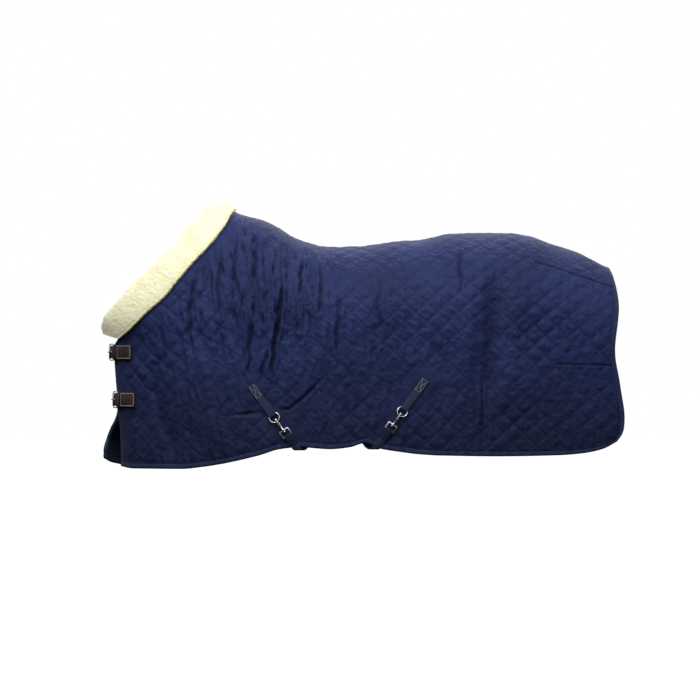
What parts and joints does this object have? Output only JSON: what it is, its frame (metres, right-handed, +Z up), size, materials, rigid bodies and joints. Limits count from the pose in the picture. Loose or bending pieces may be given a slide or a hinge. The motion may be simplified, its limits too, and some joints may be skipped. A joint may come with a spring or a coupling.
{
  "type": "turnout rug",
  "caption": "Quilted horse rug with a fleece collar, buckled leather chest straps and crossed belly straps clipped to rings at the side.",
  "frame": {"origin": "on the lining above the horse's spine, at the lowest point of the back", "axes": "+X towards the tail, -Y the near (left) side, +Z up"},
  "size_m": [1.9132, 0.6417, 0.9843],
  "materials": {
    "shell": "navy ripstop polyester, diamond quilted, slight sheen",
    "trim": "navy grosgrain binding",
    "wadding": "white polyester wadding",
    "lining": "navy nylon taffeta",
    "fleece": "cream sherpa fleece",
    "leather": "dark brown bridle leather, pale stitching",
    "steel": "nickel plated steel",
    "webbing": "navy polyester webbing, 28 mm"
  },
  "bodies": {
    "rug": {"outer_shell_left": "shell", "outer_shell_right": "shell", "wadding_left": "wadding", "wadding_right": "wadding", "lining_left": "lining", "lining_right": "lining", "front_binding_left": "trim", "front_binding_right": "trim", "rear_binding_left": "trim", "rear_binding_right": "trim", "hem_binding_left": "trim", "hem_binding_right": "trim", "spine_seam_tape": "trim", "fleece_collar": "fleece", "chest_chape_upper": "leather", "chest_patch_upper": "leather", "chest_billet_upper": "leather", "chest_chape_lower": "leather", "chest_patch_lower": "leather", "chest_billet_lower": "leather", "belly_tab_front": "webbing", "belly_strap_front": "webbing", "belly_tab_rear": "webbing", "belly_strap_rear": "webbing"},
    "buckle_frame_upper": {"buckle_frame_upper": "steel"},
    "buckle_prong_upper": {"buckle_prong_upper": "steel"},
    "buckle_roller_upper": {"buckle_roller_upper": "steel"},
    "buckle_frame_lower": {"buckle_frame_lower": "steel"},
    "buckle_prong_lower": {"buckle_prong_lower": "steel"},
    "buckle_roller_lower": {"buckle_roller_lower": "steel"},
    "belly_ring_front": {"belly_ring_front": "steel"},
    "strap_end_front": {"strap_eye_front": "steel", "strap_end_front": "webbing"},
    "snap_hook_front": {"snap_hook_front": "steel"},
    "snap_gate_front": {"snap_gate_front": "steel"},
    "strap_slider_front": {"strap_slider_front": "steel"},
    "belly_ring_rear": {"belly_ring_rear": "steel"},
    "strap_end_rear": {"strap_eye_rear": "steel", "strap_end_rear": "webbing"},
    "snap_hook_rear": {"snap_hook_rear": "steel"},
    "snap_gate_rear": {"snap_gate_rear": "steel"},
    "strap_slider_rear": {"strap_slider_rear": "steel"}
  },
  "joints": [
    {"name": "buckle_tilt_upper", "type": "hinge", "parent": "rug", "child": "buckle_frame_upper", "pos_m": [-0.8299, -0.07352, -0.37], "axis": [0, 0, 1], "range_deg": [0, 12]},
    {"name": "prong_lift_upper", "type": "hinge", "parent": "buckle_frame_upper", "child": "buckle_prong_upper", "pos_m": [-0.8299, -0.07352, -0.37], "axis": [0, 0, 1], "range_deg": [0, 8]},
    {"name": "roller_spin_upper", "type": "hinge", "parent": "buckle_frame_upper", "child": "buckle_roller_upper", "pos_m": [-0.84552, -0.03653, -0.37], "axis": [0, 0, 1], "continuous": true},
    {"name": "buckle_tilt_lower", "type": "hinge", "parent": "rug", "child": "buckle_frame_lower", "pos_m": [-0.81691, -0.07397, -0.544], "axis": [0, 0, 1], "range_deg": [0, 12]},
    {"name": "prong_lift_lower", "type": "hinge", "parent": "buckle_frame_lower", "child": "buckle_prong_lower", "pos_m": [-0.81691, -0.07397, -0.544], "axis": [0, 0, 1], "range_deg": [0, 8]},
    {"name": "roller_spin_lower", "type": "hinge", "parent": "buckle_frame_lower", "child": "buckle_roller_lower", "pos_m": [-0.83247, -0.03712, -0.544], "axis": [0, 0, 1], "continuous": true},
    {"name": "clip_lift_front", "type": "hinge", "parent": "rug", "child": "strap_end_front", "pos_m": [-0.16694, -0.3074, -0.70615], "axis": [0.809, 0, 0.5878], "range_deg": [0, 4.78], "stiffness_Nm_per_rad": 0.2, "springref_deg": -8.59},
    {"name": "ring_swing_front", "type": "hinge", "parent": "rug", "child": "belly_ring_front", "pos_m": [-0.2451, -0.3103, -0.59858], "axis": [-0.809, 0, -0.5878], "range_deg": [0, 18]},
    {"name": "snap_swivel_front", "type": "hinge", "parent": "strap_end_front", "child": "snap_hook_front", "pos_m": [-0.20456, -0.3183, -0.65437], "axis": [0.5878, 0, -0.809], "range_deg": [-10, 10]},
    {"name": "gate_press_front", "type": "hinge", "parent": "snap_hook_front", "child": "snap_gate_front", "pos_m": [-0.21925, -0.32705, -0.63415], "axis": [-0.809, 0, -0.5878], "range_deg": [0, 17], "stiffness_Nm_per_rad": 0.02, "springref_deg": -11.46},
    {"name": "slider_slide_front", "type": "slide", "parent": "rug", "child": "strap_slider_front", "axis": [-0.5878, 0, -0.809], "range_m": [-0.03, 0.03]},
    {"name": "clip_lift_rear", "type": "hinge", "parent": "rug", "child": "strap_end_rear", "pos_m": [0.15494, -0.3074, -0.68515], "axis": [0.809, 0, -0.5878], "range_deg": [0, 4.78], "stiffness_Nm_per_rad": 0.2, "springref_deg": -8.59},
    {"name": "ring_swing_rear", "type": "hinge", "parent": "rug", "child": "belly_ring_rear", "pos_m": [0.2331, -0.3103, -0.57758], "axis": [-0.809, 0, 0.5878], "range_deg": [0, 18]},
    {"name": "snap_swivel_rear", "type": "hinge", "parent": "strap_end_rear", "child": "snap_hook_rear", "pos_m": [0.19256, -0.3183, -0.63337], "axis": [-0.5878, 0, -0.809], "range_deg": [-10, 10]},
    {"name": "gate_press_rear", "type": "hinge", "parent": "snap_hook_rear", "child": "snap_gate_rear", "pos_m": [0.20725, -0.32705, -0.61315], "axis": [-0.809, 0, 0.5878], "range_deg": [0, 17], "stiffness_Nm_per_rad": 0.02, "springref_deg": -11.46},
    {"name": "slider_slide_rear", "type": "slide", "parent": "rug", "child": "strap_slider_rear", "axis": [0.5878, 0, -0.809], "range_m": [-0.03, 0.03]}
  ],
  "couplings": [
    {"joint": "ring_swing_front", "follows": "clip_lift_front", "ratio": 3.76},
    {"joint": "ring_swing_rear", "follows": "clip_lift_rear", "ratio": 3.76}
  ]
}
